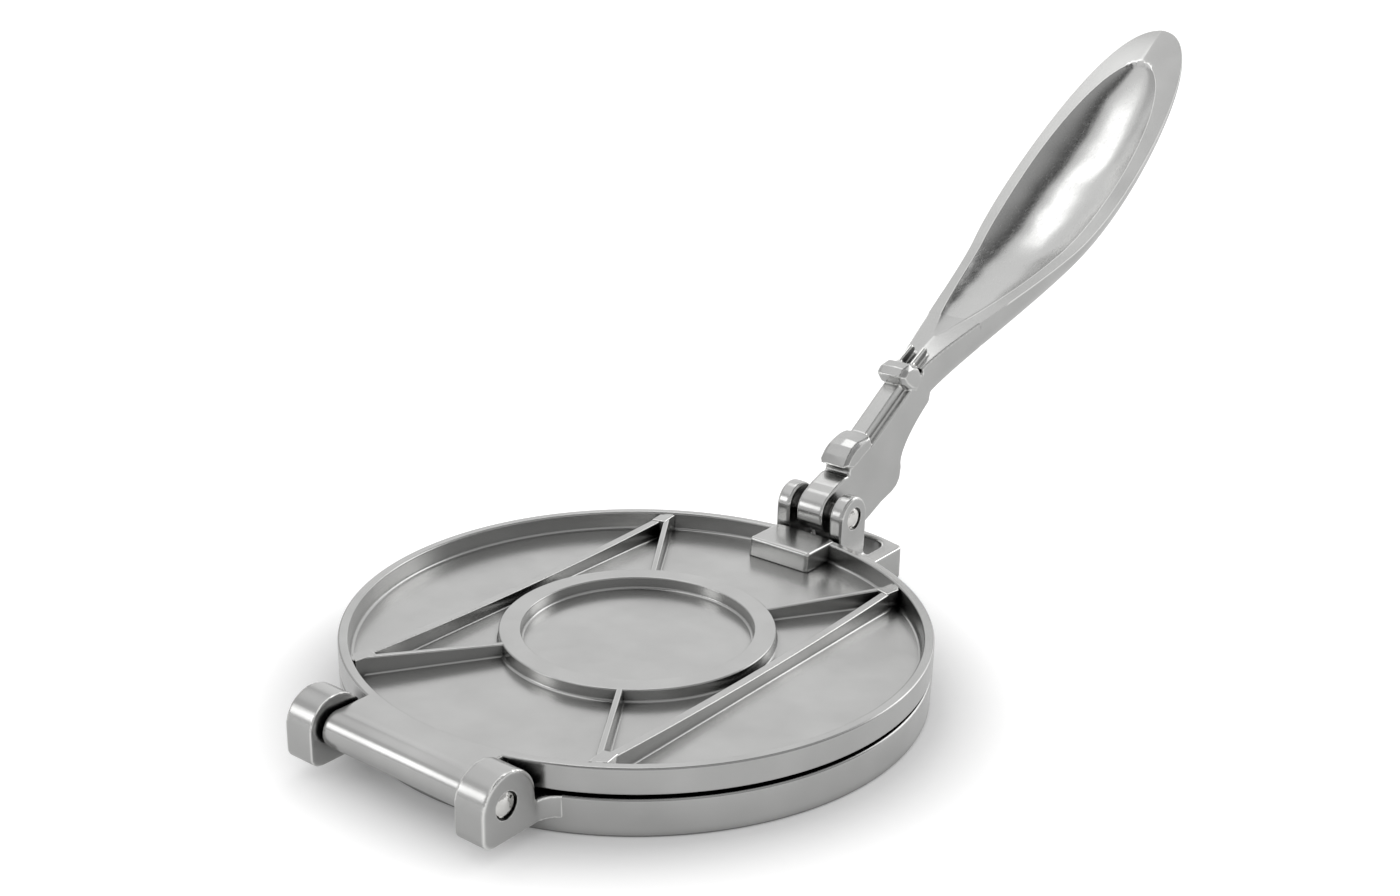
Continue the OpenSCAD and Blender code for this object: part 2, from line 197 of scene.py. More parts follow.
def prism(form, outlines, low, high, edge, turn=None, segments=3):
    """Adds the prism on one or more (x, y) outlines that share whole sides, from low to
    high along Z, its sharp edges rounded over edge, then placed by the matrix turn."""
    solid = bmesh.new()
    for outline in outlines:
        solid.faces.new([solid.verts.new((x, y, low)) for x, y in outline])
    bmesh.ops.remove_doubles(solid, verts=solid.verts, dist=1e-4)
    raised = bmesh.ops.extrude_face_region(solid, geom=solid.faces[:])["geom"]
    top = [v for v in raised if isinstance(v, bmesh.types.BMVert)]
    bmesh.ops.translate(solid, vec=(0, 0, high - low), verts=top)
    bmesh.ops.recalc_face_normals(solid, faces=solid.faces)
    sharp = [e for e in solid.edges if e.is_manifold and e.calc_face_angle() > math.radians(25)]
    if edge > 0:
        bmesh.ops.bevel(solid, geom=sharp, offset=edge, offset_type="OFFSET", segments=segments,
                        profile=0.5, affect="EDGES", clamp_overlap=True)
    if turn is not None:
        bmesh.ops.transform(solid, matrix=turn, verts=solid.verts)
    merge(form, solid)


# Turns a prism drawn in (x, z) and raised along Z into one that lies across the press.
ACROSS = Matrix(((1, 0, 0, 0), (0, 0, 1, 0), (0, 1, 0, 0), (0, 0, 0, 1)))


def lying_at(x, z):
    """Lays a turned shape across the press, its axis through (x, z)."""
    return Matrix.Translation((x, 0, z)) @ Matrix.Rotation(math.pi / 2, 4, "X")


def drill(x, z, r, length, sink=0.0, sunk_r=0.0):
    """A closed cutter across the press at (x, z): a bore of radius r, opened to sunk_r
    over the last sink of each end of the given length."""
    cutter = bmesh.new()
    half, far = length / 2, length / 2 + 5
    profile = [(0, -far), (r, -far), (r, far), (0, far)]
    if sink:
        profile = [(0, -far), (sunk_r, -far), (sunk_r, sink - half), (r, sink - half),
                   (r, half - sink), (sunk_r, half - sink), (sunk_r, far), (0, far)]
    turned(cutter, profile, 64, lying_at(x, z))
    bmesh.ops.recalc_face_normals(cutter, faces=cutter.faces)
    return cutter


def one_skin(shells, cutter, grid=0.4):
    """One closed skin over overlapping shells, on a grid of the given size, its inside
    corners eased as the sand leaves them. The cutter is then taken out of it."""
    holders = []
    for source in (shells, cutter):
        mesh = bpy.data.meshes.new("pattern")
        source.to_mesh(mesh)
        source.free()
        holders.append(add_object("pattern", mesh))
    wrap = holders[0].modifiers.new("wrap", "REMESH")
    wrap.mode = "VOXEL"
    wrap.voxel_size = grid
    ease = holders[0].modifiers.new("ease", "SMOOTH")
    ease.factor = 0.5
    ease.iterations = 3
    bore = holders[0].modifiers.new("bore", "BOOLEAN")
    bore.operation = "DIFFERENCE"
    bore.solver = "EXACT"
    bore.object = holders[1]
    skin = plain_mesh(holders[0])
    for holder in holders:
        discard(holder)
    return skin


def mark_edges(form):
    """Marks, as a point attribute from 0 to 1, how sharply the skin turns at each point that only has narrow
    faces around it, as the points of a rounded edge do. The casting's colour brightens by this mark, partly
    as wear and partly as a painted highlight."""
    narrow, first_bend, full_bend = 0.6, 8, 16
    form.normal_update()
    wear_and_highlight = form.verts.layers.float.new("wear_and_highlight")
    width = {f: f.calc_area() / max(e.calc_length() for e in f.edges) for f in form.faces}
    for point in form.verts:
        if point.link_faces and max(width[f] for f in point.link_faces) < narrow:
            bend = math.degrees(max(point.normal.angle(f.normal, 0) for f in point.link_faces))
            point[wear_and_highlight] = min(1, max(0, (bend - first_bend) / (full_bend - first_bend)))


def casting(form, name, node, body, materials):
    """Makes one finished casting of the form, in place of its CAD node."""
    mark_edges(form)
    bmesh.ops.scale(form, vec=(mm, mm, mm), verts=form.verts)
    for face in form.faces:
        face.smooth = True
    mesh = bpy.data.meshes.new(name)
    form.to_mesh(mesh)
    form.free()
    mesh.set_sharp_from_angle(angle=math.radians(38))
    for material in materials:
        mesh.materials.append(material)
    piece = add_object(name, mesh)
    flats = piece.modifiers.new("flats", "WEIGHTED_NORMAL")
    flats.keep_sharp = True
    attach(piece, body)
    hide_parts(node)


def mirrored(outline):
    """The outline's image on the other side of the centreline."""
    return [(x, -y) for x, y in reversed(outline)]


def rib_wheel():
    """Geometry nodes for a wheel of bars with rounded corners, laid out about Z."""
    tree = bpy.data.node_groups.new("rib_wheel", "GeometryNodeTree")
    tree.interface.new_socket("Geometry", in_out="OUTPUT", socket_type="NodeSocketGeometry")
    for name, kind in (("Ribs", "NodeSocketInt"), ("Start", "NodeSocketFloat"),
                       ("Length", "NodeSocketFloat"), ("Thickness", "NodeSocketFloat"),
                       ("Height", "NodeSocketFloat"), ("Corner", "NodeSocketFloat"),
                       ("Material", "NodeSocketMaterial")):
        tree.interface.new_socket(name, in_out="INPUT", socket_type=kind)
    given = add_node(tree, "NodeGroupInput").outputs
    outline = add_node(tree, "GeometryNodeCurvePrimitiveQuadrilateral",
                       {"Width": given["Thickness"], "Height": given["Height"]})
    rounded = add_node(tree, "GeometryNodeFilletCurve",
                       {"Curve": outline.outputs[0], "Radius": given["Corner"]}, mode="POLY", count=4)
    far = add_node(tree, "ShaderNodeMath", {0: given["Start"], 1: given["Length"]}, operation="ADD")
    lift = add_node(tree, "ShaderNodeMath", {0: given["Height"]}, operation="MULTIPLY")
    lift.inputs[1].default_value = 0.5
    start = add_node(tree, "ShaderNodeCombineXYZ", {"X": given["Start"], "Z": lift.outputs[0]})
    stop = add_node(tree, "ShaderNodeCombineXYZ", {"X": far.outputs[0], "Z": lift.outputs[0]})
    run = add_node(tree, "GeometryNodeCurvePrimitiveLine",
                   {"Start": start.outputs[0], "End": stop.outputs[0]})
    bar = add_node(tree, "GeometryNodeCurveToMesh",
                   {"Curve": run.outputs[0], "Profile Curve": rounded.outputs[0]}, fill_caps=True)
    hub = add_node(tree, "GeometryNodePoints", {"Count": given["Ribs"]})
    share = add_node(tree, "ShaderNodeMath", {1: given["Ribs"]}, operation="DIVIDE")
    share.inputs[0].default_value = math.tau
    order = add_node(tree, "GeometryNodeInputIndex")
    angle = add_node(tree, "ShaderNodeMath", {0: order.outputs[0], 1: share.outputs[0]},
                     operation="MULTIPLY")
    turn = add_node(tree, "ShaderNodeCombineXYZ", {"Z": angle.outputs[0]})
    wheel = add_node(tree, "GeometryNodeInstanceOnPoints",
                     {"Points": hub.outputs[0], "Instance": bar.outputs[0], "Rotation": turn.outputs[0]})
    real = add_node(tree, "GeometryNodeRealizeInstances", {"Geometry": wheel.outputs[0]})
    finished = add_node(tree, "GeometryNodeSetMaterial",
                        {"Geometry": real.outputs[0], "Material": given["Material"]})
    add_node(tree, "NodeGroupOutput", {0: finished.outputs[0]})
    return tree


def grown(tree, **values):
    """The plain mesh that a geometry tree makes with the given inputs."""
    seed = add_object("seed", bpy.data.meshes.new("seed"))
    modifier = seed.modifiers.new("grow", "NODES")
    modifier.node_group = tree
    for socket in tree.interface.items_tree:
        if socket.name in values:
            modifier[socket.identifier] = values[socket.name]
    mesh = plain_mesh(seed)
    discard(seed)
    return mesh


cast = satin_casting()
web_top = base_h - 3
foot_in, foot_out, hub_r = 39, 42, 9
form = bmesh.new()
turned(form, [(0, base_h - 4), (plate_r - 5, base_h - 4)] + arc(plate_r - 5, base_h - 5, 1, 90, 0)
       + [(plate_r - 3.6, 0.8)] + arc(plate_r - 2.8, 0.6, 0.6, 180, 270)
       + arc(plate_r - 1, 0.7, 0.7, 270, 350) + arc(plate_r - 0.8, base_h - 0.8, 0.8, 5, 90)
       + [(0, base_h)])
ribs = grown(rib_wheel(), Ribs=8, Start=6.0, Length=73.0, Thickness=2.5, Height=web_top, Corner=0.5,
             Material=cast)
form.from_mesh(ribs)
turned(form, [(foot_in, web_top), (foot_in, 0.4), (foot_in + 0.4, 0), (foot_out - 0.4, 0),
              (foot_out, 0.4), (foot_out, web_top)])
turned(form, [(0, 0), (hub_r - 0.5, 0), (hub_r, 0.5), (hub_r, web_top), (0, web_top)], 72)
bmesh.ops.recalc_face_normals(form, faces=form.faces)

# The lugs and the bracket end a hair below the plate's top and run on inside the plate.
flush, lug_end, foot_r = base_h - 0.03, -66, 3.1
head = (-hinge_x + lug_ahead, hinge_z - lug_drop)
back = head[0] - lug_r
lug = ([(back + foot_r, lug_foot), (lug_end, lug_foot), (lug_end, flush), (head[0] + lug_r + 1, flush)]
       + arc(head[0] + lug_r + 1, base_h + 1, 1, 268, 180) + arc(*head, lug_r, 0, 180, 28)
       + arc(back + foot_r, lug_foot + foot_r, foot_r, 180, 264))
root_r = 6.0
root_x = -math.sqrt((plate_r + root_r) ** 2 - (lug_out + root_r) ** 2)
root_end = math.degrees(math.atan2(-lug_out - root_r, -root_x))
root = ([(root_x, lug_out - 3), (lug_end, lug_out - 3), (lug_end, 36)]
        + arc(root_x, lug_out + root_r, root_r, root_end, -90, 8))
lugs = bmesh.new()
for side in (1, -1):
    low, high = sorted((side * lug_in, side * lug_out))
    prism(lugs, [lug], low, high, 1.1, ACROSS, 4)
    prism(lugs, [root if side > 0 else mirrored(root)], lug_foot, flush, 0)
form.from_mesh(one_skin(lugs, drill(-hinge_x, hinge_z, hinge_pin_r + 0.02, 2 * lug_out,
                                    1.2, hinge_pin_r + 0.5)))

bracket_end, window_x, window_r = 78, bracket_x - 3.4, 6
bow_r, corner_r, wall_t = 48, 3.2, 3.2
deck = ([(bracket_end, 0), (pivot_x + ear_r, 0), (pivot_x + ear_r, window_half)]
        + arc(window_x - window_r, window_half - window_r, window_r, 90, 0, 8)
        + [(window_x, 0), (bracket_x, 0)] + arc(bracket_x - bow_r, 0, bow_r, 2, 19, 8)
        + arc(bracket_x - 5.6, bracket_half - corner_r, corner_r, 30, 90, 5)
        + [(bracket_end, bracket_half)])
bracket = bmesh.new()
prism(bracket, [deck, mirrored(deck)], base_h - 3, flush, 0.6)
wall = ([(pivot_x + ear_r - 3, 0)] + deck[1:-1]
        + [(bracket_end, bracket_half), (bracket_end, bracket_half - wall_t),
           (pivot_x + ear_r - 3, bracket_half - wall_t)])
prism(bracket, [wall, mirrored(wall)], 0, flush, 0.6)
ear = [(pivot_x + ear_r, 8)] + arc(pivot_x, pivot_z, ear_r, 0, 180, 28) + [(pivot_x - ear_r, 8)]
for side in (1, -1):
    low, high = sorted((side * ear_in, side * ear_out))
    prism(bracket, [ear], low, high, 0.9, ACROSS, 4)
sill_z = base_h + 1.1
sill = [(pivot_x + 2, base_h - 3), (pivot_x + ear_r, base_h - 3), (pivot_x + ear_r, sill_z),
        (pivot_x + 2, sill_z)]
prism(bracket, [sill], -ear_out + 1, ear_out - 1, 0.3, ACROSS)
form.from_mesh(one_skin(bracket, drill(pivot_x, pivot_z, lever_pin_r + 0.02, 2 * ear_out,
                                       0.8, lever_pin_r + 0.5)))
casting(form, "base_casting", "base", "base", [cast])

# --- Upper plate casting --------------------------------------------------------------
# Shallow round pan with a ring and ribs that stiffen it, a thrust block for the lever
# and a tongue that ends in the hinge barrel. One sand casting in aluminium.

press_z, floor_z, rim_z = 11.7, 13.3, 19.0
rim_in = plate_r - 2.9
ring_r, ring_in, ring_h = 38.8, 32.7, 3.7
rib_t, spoke_t, rib_h, rib_dip, chord_y = 2.9, 2.0, 5.3, 1.6, 43.0
corner_x = math.sqrt((rim_in - 0.4) ** 2 - chord_y ** 2)
barrel_r, barrel_half = 5.2, 24.0


def rib(form, start, stop, tops, thick):
    """Adds an upright rib from start to stop on the pan's floor, its top at the given
    heights along it: drafted sides, rounded top corners and a hollow foot."""
    foot, edge = 0.7, 0.45
    along = (Vector(stop) - Vector(start)).normalized()
    beside = Vector((-along.y, along.x))
    rings = []
    for i, top in enumerate(tops):
        spot = Vector(start).lerp(Vector(stop), i / (len(tops) - 1))
        half = thick / 2
        side = (arc(half + foot, foot, foot, 270, 184, 5)
                + arc(half - 0.1 - edge, top - edge, edge, 4, 90, 4))
        section = ([(half + foot, -0.5)] + side + [(-y, z) for y, z in reversed(side)]
                   + [(-half - foot, -0.5)])
        rings.append([form.verts.new((spot.x + beside.x * y, spot.y + beside.y * y, floor_z - 0.02 + z))
                      for y, z in section])
    for a, b in zip(rings, rings[1:]):
        for j in range(len(a)):
            k = (j + 1) % len(a)
            form.faces.new((a[j], a[k], b[k], b[j]))
    form.faces.new(rings[0])
    form.faces.new(list(reversed(rings[-1])))


form = bmesh.new()
turned(form, [(0, press_z)] + arc(plate_r - 0.6, press_z + 0.6, 0.6, 270, 360)
       + arc(plate_r - 0.6, rim_z - 0.6, 0.6, 0, 90) + arc(rim_in + 0.65, rim_z - 0.65, 0.65, 90, 180)
       + arc(rim_in - 0.3 - 1, floor_z + 1, 1, 0, -90) + [(0, floor_z)])
turned(form, arc(ring_r + 0.9, floor_z + 0.88, 0.9, 270, 182)
       + arc(ring_r - 0.45, floor_z + ring_h - 0.45, 0.45, 2, 90)
       + arc(ring_in + 0.45, floor_z + ring_h - 0.45, 0.45, 90, 178)
       + arc(ring_in - 0.9, floor_z + 0.88, 0.9, -2, -90)
       + [(ring_in - 0.9, floor_z - 0.5), (ring_r + 0.9, floor_z - 0.5)])
dip_r = (corner_x ** 2 + rib_dip ** 2) / (2 * rib_dip)
chord_steps, spoke_steps = 48, 18
chord_tops = []
for i in range(chord_steps + 1):
    x = (corner_x + 1) * (2 * i / chord_steps - 1)
    chord_tops.append(rib_h - rib_dip + dip_r - math.sqrt(dip_r ** 2 - x ** 2))
for side in (1, -1):
    rib(form, (-corner_x - 1, side * chord_y), (corner_x + 1, side * chord_y), chord_tops, rib_t)
for a, b in ((1, 1), (-1, 1), (1, -1), (-1, -1)):
    tip = Vector((a * corner_x, b * chord_y))
    reach = tip.normalized()
    span = tip.length + 0.6 - (ring_r - 1.5)
    rise = [ring_h - 0.04 + (rib_h - 0.04 - ring_h) * min(1, i / spoke_steps * span / (span - 5))
            for i in range(spoke_steps + 1)]
    rib(form, reach * (ring_r - 1.5), reach * (tip.length + 0.6), rise, spoke_t)
    pad = [(corner_x - 6.5, chord_y + 1.2), (corner_x - 5.4, chord_y - 3), (corner_x + 1, chord_y - 2),
           (corner_x - 1.5, chord_y + 2)]
    pad = [(a * x, b * y) for x, y in pad]
    prism(form, [pad if a * b > 0 else pad[::-1]], floor_z - 0.5, floor_z + rib_h - 0.02, 0.25)
bmesh.ops.recalc_face_normals(form, faces=form.faces)

block_in, block_out, block_half, block_top = 66.7, 83, 11.0, rim_z + 0.4
block = bmesh.new()
prism(block, [[(block_in, floor_z - 0.5), (block_out, floor_z - 0.5), (block_out, block_top),
               (block_in + 0.8, block_top)]], -block_half, block_half, 0.8, ACROSS)
trim = bmesh.new()
turned(trim, [(plate_r - 0.6, 5), (plate_r + 30, 5), (plate_r + 30, 30), (plate_r - 0.6, 30)])
bmesh.ops.recalc_face_normals(trim, faces=trim.faces)
form.from_mesh(one_skin(block, trim))

tongue = bmesh.new()
tongue_r = rim_in + 1.2
swing = math.degrees(math.asin(barrel_half / tongue_r))
plan = ([(-hinge_x, barrel_half), (-hinge_x, -barrel_half)]
        + arc(0, 0, tongue_r, 180 + swing, 180 - swing, 16))
prism(tongue, [plan], press_z + 0.02, rim_z, 0.3)
turned(tongue, arc(barrel_r - 0.5, -barrel_half + 0.5, 0.5, -90, 0)
       + arc(barrel_r - 0.5, barrel_half - 0.5, 0.5, 0, 90)
       + [(0, barrel_half), (0, -barrel_half)], 96, lying_at(-hinge_x, hinge_z))
form.from_mesh(one_skin(tongue, drill(-hinge_x, hinge_z, hinge_pin_r + 0.06, 2 * barrel_half)))
casting(form, "upper_plate_casting", "upper_plate", "upper_plate", [cast])

# --- Lever casting --------------------------------------------------------------------
# Hand lever, one aluminium casting: a flat web with a cam nose and a heel, a collar, and
# a long spoon grip whose bowl is buffed bright. It turns on a pin between the ears.

web_t, knuckle_r = 9.6, 7.0
grip_w, belly_d, bowl_w, bowl_d, face_slope = 23.0, 13.0, 18.2, 6.4, math.radians(7)
widest, bowl_from, bowl_to, split = 0.61, 0.10, 0.89, 0.38
root_curve = ((138.9, 60.1), (153.9, 68.1), (189.4, 77.3), (208.7, 86))
tip_curve = ((208.7, 86), (233.4, 96.9), (286, 134.6), (311, 153.8))
spine_curve = ((129.7, 28.8), (125.9, 35.5), (149.6, 54.5), (176.4, 60.3))


def buffed_bowl():
    """The same casting ground and buffed in the bowl: clean metal with no cast skin, the
    low swells that a felt wheel leaves and hair-fine lines along the lever."""
    material, output = new_material("buffed_aluminium")
    tree = material.node_tree
    place = add_node(tree, "ShaderNodeTexCoord").outputs["Object"]
    swells = add_node(tree, "ShaderNodeTexNoise", {"Vector": place},
                      scale=1 / (24 * mm), detail=0.6, roughness=0.45)
    lay = add_node(tree, "ShaderNodeMapping", {"Vector": place})
    lay.inputs["Rotation"].default_value = (0, math.radians(36), 0)
    lay.inputs["Scale"].default_value = (0.06, 1, 1)
    hairs = add_node(tree, "ShaderNodeTexNoise", {"Vector": lay.outputs["Vector"]},
                     scale=1 / (0.9 * mm), detail=3.0, roughness=0.6)
    gloss = add_node(tree, "ShaderNodeMapRange", {"Value": hairs.outputs["Fac"]},
                     from_min=0.3, from_max=0.7, to_min=0.2, to_max=0.28)
    wheel = add_node(tree, "ShaderNodeBump", {"Height": swells.outputs["Fac"]},
                     strength=1.0, distance=1.8 * mm)
    bump = add_node(tree, "ShaderNodeBump",
                    {"Height": hairs.outputs["Fac"], "Normal": wheel.outputs["Normal"]},
                    strength=0.2, distance=0.003 * mm)
    shader = add_node(tree, "ShaderNodeBsdfPrincipled",
                      {"Roughness": gloss.outputs["Result"], "Normal": bump.outputs["Normal"]}, metallic=1.0)
    shader.inputs["Base Color"].default_value = linear("#C2C2C1")
    tree.links.new(shader.outputs["BSDF"], output.inputs["Surface"])
    return material


def bezier(curve, t):
    """Point and direction at t on a cubic curve in (x, z)."""
    a, b, c, d = (Vector(p) for p in curve)
    spot = (1 - t) ** 3 * a + 3 * (1 - t) ** 2 * t * b + 3 * (1 - t) * t * t * c + t ** 3 * d
    way = (1 - t) ** 2 * (b - a) + 2 * (1 - t) * t * (c - b) + t * t * (d - c)
    return spot, way.normalized()


bowl_points, belly_points = 36, 44


def bowl_width(u):
    """Half the width of the bowl at u from root 0 to tip 1."""
    if u < widest:
        return bowl_w * math.sin(math.pi / 2 * max(0, u - bowl_from) / (widest - bowl_from)) ** 0.75
    return bowl_w * math.sqrt(max(0, 1 - ((u - widest) / (bowl_to - widest)) ** 2))


def grip_section(u):
    """Cross-section of the grip at u from root 0 to tip 1, as (across, above face) points."""
    shank_w = web_t / 2 + 0.25
    if u < widest:
        half = shank_w + (grip_w - shank_w) * math.sin(math.pi / 2 * u / widest) ** 1.4
    else:
        half = max(1.5, grip_w * math.sqrt(max(0, 1 - ((u - widest) / (1 - widest)) ** 2)))
    bowl = bowl_width(u)
    land = max(bowl, 0.3 * half)
    depth = bowl_d * (bowl / bowl_w) ** 1.2
    belly = max(1.6, (belly_d - 3.6 * u) * math.sqrt(max(0, 1 - u ** 5)))
    power = 2 / (2.4 + 3 * (1 - min(1, u / 0.45)) ** 2)
    points = []
    soft = 0.4 * bowl * min(1, bowl / 4) + 0.3
    for i in range(bowl_points + 1):
        k = -math.cos(math.pi * i / bowl_points)
        crest = math.sqrt((land * k) ** 2 + soft * soft * (1 - k * k))
        sunk = depth * (1 - min(1, abs(land * k) / bowl) ** 2.2) if bowl > 0.01 else 0
        points.append((land * k, (half - crest) * math.tan(face_slope) - sunk))
    brow = min(0.3, 0.2 * (half - land))
    sill = [(y, (half - y) * math.tan(face_slope)) for y in (land + brow, half - brow)]
    points += sill
    for i in [0, 0.12] + list(range(1, belly_points)) + [belly_points - 0.12, belly_points]:
        c, s = math.cos(math.pi * i / belly_points), math.sin(math.pi * i / belly_points)
        points.append((half * math.copysign(abs(c) ** power, c), -belly * abs(s) ** power))
    points += [(-y, h) for y, h in reversed(sill)]
    return points


def grip(form, stations):
    """Adds the grip between the first and last of the given stations, lofted along the
    centreline of its face and closed at both ends. Faces of the bowl get slot 1."""
    rings = []
    for u in stations:
        spot, way = (bezier(root_curve, u / split) if u < split
                     else bezier(tip_curve, (u - split) / (1 - split)))
        rings.append([form.verts.new((spot.x - h * way.y, y, spot.y + h * way.x))
                      for y, h in grip_section(u)])
    for u, a, b in zip(stations, rings, rings[1:]):
        for j in range(len(a)):
            k = (j + 1) % len(a)
            face = form.faces.new((a[j], a[k], b[k], b[j]))
            if j < bowl_points and max(abs(v.co.y) for v in face.verts) < bowl_width(u) + 0.2:
                face.material_index = 1
    for ring in (rings[0], rings[-1]):
        middle = form.verts.new(sum((v.co for v in ring), Vector()) / len(ring))
        for j in range(len(ring)):
            form.faces.new((ring[j], ring[(j + 1) % len(ring)], middle))


def chamfered(form, outline, half, inset, flat, crown=0.0):
    """Adds the hull of an (x, z) outline of half width half, its ends drawn in by inset
    beyond the half width flat, with a ridge proud by crown down the middle."""
    hull = bmesh.new()
    cx, cz = (sum(p[i] for p in outline) / len(outline) for i in (0, 1))
    for x, z in outline:
        away = Vector((x - cx, z - cz)).normalized()
        for y, out in ((half, -inset), (flat, 0), (0, crown), (-flat, 0), (-half, -inset)):
            hull.verts.new((x + away.x * out, y, z + away.y * out))
    bmesh.ops.convex_hull(hull, input=hull.verts)
    bmesh.ops.delete(hull, geom=[v for v in hull.verts if not v.link_faces], context="VERTS")
    merge(form, hull)


# The grip is lofted in two lengths: the shank's, which joins the web in one skin, and the
# spoon's, which starts a little before the first one stops.
root_stop, overlap, spoon_steps, root_steps = 0.17, 0.01, 130, 24
form = bmesh.new()
grip(form, [root_stop - overlap + (1 + overlap - root_stop) * math.sin(math.pi / 2 * i / spoon_steps)
            for i in range(spoon_steps + 1)])
bmesh.ops.recalc_face_normals(form, faces=form.faces)

shank = bmesh.new()
grip(shank, [root_stop * i / root_steps for i in range(root_steps + 1)])
web = ([(86.5, 30.2), (90.9, 32.6), (96, 34.4), (98.2, 34.3), (98.6, 36.3), (101.3, 40.3), (110.1, 40.9),
        (130.4, 53), (136.7, 56.4), (141.6, 59.7), (147.5, 59.2)]
       + [tuple(bezier(spine_curve, i / 16)[0]) for i in range(9, -1, -1)]
       + [(129.2, 24.9), (127.5, 22.6), (124.7, 21.1), (118.3, 19.3), (111.8, 16.5), (101.8, 12.8),
          (98, 12), (94.6, 12), (pivot_x, pivot_z)])
nose = [(95.2, 37.8), (97.2, 40.6), (99.8, 43), (103, 44.3), (106.7, 44.4), (109.2, 44.9), (110.9, 41.8),
        (105, 38.8), (101.3, 38.3), (99.1, 36.1)]
bar = [(103.4, 43.4), (108.2, 44.2), (127.7, 56.3), (133.5, 57.3), (131.3, 51.2), (109.8, 39.2)]
collar = [(133.1, 53.8), (128.1, 57.1), (126.3, 60), (128.4, 62.4), (132.1, 63.2), (136.8, 61.6),
          (139.3, 57.4), (136.7, 53.2)]
pad = [(133.5, 59.3), (135.3, 62.2), (143.4, 66.2), (145.1, 64.7), (142.1, 60.2)]
prism(shank, [web], -web_t / 2, web_t / 2, 0.6, ACROSS)
prism(shank, [arc(pivot_x, pivot_z, knuckle_r, 0, 354, 59)], -web_t / 2, web_t / 2, 0.6, ACROSS)
chamfered(shank, nose, web_t / 2 + 0.6, 1.3, web_t / 2 - 0.6, 0.35)
prism(shank, [bar], -3, 3, 0.5, ACROSS)
chamfered(shank, collar, web_t / 2 + 0.7, 1.5, web_t / 2 - 0.9, 0.2)
for side in (1, -1):
    prism(shank, [pad], side * 2.4 - 0.65, side * 2.4 + 0.65, 0.25, ACROSS)
form.from_mesh(one_skin(shank, drill(pivot_x, pivot_z, lever_pin_r + 0.06, web_t), 0.35))
casting(form, "lever_casting", "lever", "lever", [cast, buffed_bowl()])

# --- Pins -----------------------------------------------------------------------------
# Two plain steel pins, their ends peened over into low domes.


def peened_steel():
    """Bright drawn steel with domed, hammered ends: a mirror with faint dents."""
    material, output = new_material("peened_steel")
    tree = material.node_tree
    place = add_node(tree, "ShaderNodeTexCoord").outputs["Object"]
    dents = add_node(tree, "ShaderNodeTexNoise", {"Vector": place},
                     scale=1 / (2.2 * mm), detail=2.0, roughness=0.5)
    colour = add_node(tree, "ShaderNodeValToRGB", {"Fac": dents.outputs["Fac"]})
    colour.color_ramp.elements[0].color = linear("#D2D1CE")
    colour.color_ramp.elements[1].color = linear("#EDECEA")
    bump = add_node(tree, "ShaderNodeBump", {"Height": dents.outputs["Fac"]},
                    strength=0.8, distance=0.35 * mm)
    shader = add_node(tree, "ShaderNodeBsdfPrincipled",
                      {"Base Color": colour.outputs["Color"], "Normal": bump.outputs["Normal"]},
                      metallic=1.0, roughness=0.12)
    tree.links.new(shader.outputs["BSDF"], output.inputs["Surface"])
    return material


steel = peened_steel()
for name in ("hinge_pin", "lever_pin"):
    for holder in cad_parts[name].material_slots:
        holder.material = steel

# --- Table, light and camera ----------------------------------------------------------
# White sweep lit evenly from the sky and by three softboxes. Grey glowing walls and a graded glowing roof,
# which the camera, diffuse light and shadows don't see, give the metal something darker to mirror: painted
# reflections.


def shows_white(tree):
    """1 for rays that should see the bare white studio, 0 for the others."""
    path = add_node(tree, "ShaderNodeLightPath")
    either = add_node(tree, "ShaderNodeMath", {0: path.outputs["Is Camera Ray"],
                                               1: path.outputs["Is Glossy Ray"]}, operation="MAXIMUM")
    return add_node(tree, "ShaderNodeMath", {0: either.outputs[0],
                                             1: path.outputs["Is Transmission Ray"]},
                    operation="MAXIMUM").outputs[0]


def white_sweep():
    """Matt white paper. It glows a little for the camera, more so away from the press, and so clears to
    white beyond the soft shadow; the weaker glow near the press is a painted shadow around it. In the metal
    it glows by a small even share."""
    near, far, near_glow, far_glow, mirrored_share = 0.085, 0.12, 0.12, 0.62, 0.15
    material, output = new_material("white_paper")
    tree = material.node_tree
    place = add_node(tree, "ShaderNodeTexCoord").outputs["Object"]
    fibre = add_node(tree, "ShaderNodeTexNoise", {"Vector": place}, scale=1 / (4 * mm), detail=3.0)
    tone = add_node(tree, "ShaderNodeMapRange", {"Value": fibre.outputs["Fac"]},
                    to_min=0.79, to_max=0.81)
    paper = add_node(tree, "ShaderNodeBsdfDiffuse", {"Color": tone.outputs["Result"]})
    away = add_node(tree, "ShaderNodeVectorMath", {0: place}, operation="LENGTH")
    # Glow by distance from the press: dimmer close to it, a painted shadow ring on the paper.
    lift = add_node(tree, "ShaderNodeMapRange", {"Value": away.outputs["Value"]},
                    from_min=near, from_max=far, to_min=near_glow, to_max=far_glow)
    mirrored_glow = add_node(tree, "ShaderNodeMath", {0: shows_white(tree)}, operation="MULTIPLY")
    mirrored_glow.inputs[1].default_value = mirrored_share
    seen = add_node(tree, "ShaderNodeLightPath").outputs["Is Camera Ray"]
    level = add_node(tree, "ShaderNodeMix",
                     {0: seen, 2: mirrored_glow.outputs[0], 3: lift.outputs["Result"]})
    glow = add_node(tree, "ShaderNodeEmission", {"Strength": level.outputs[0]})
    glow.inputs["Color"].default_value = (1, 1, 1, 1)
    both = add_node(tree, "ShaderNodeAddShader", {0: paper.outputs[0], 1: glow.outputs[0]})
    tree.links.new(both.outputs[0], output.inputs["Surface"])
    return material


def plane(name, corners, material):
    """A flat sheet on the given corners."""
    mesh = bpy.data.meshes.new(name)
    mesh.from_pydata(corners, [], [range(len(corners))])
    mesh.materials.append(material)
    sheet = add_object(name, mesh)
    return sheet


reach = 30.0
plane("table", [(-reach, -reach, 0), (reach, -reach, 0), (reach, reach, 0), (-reach, reach, 0)],
      white_sweep())


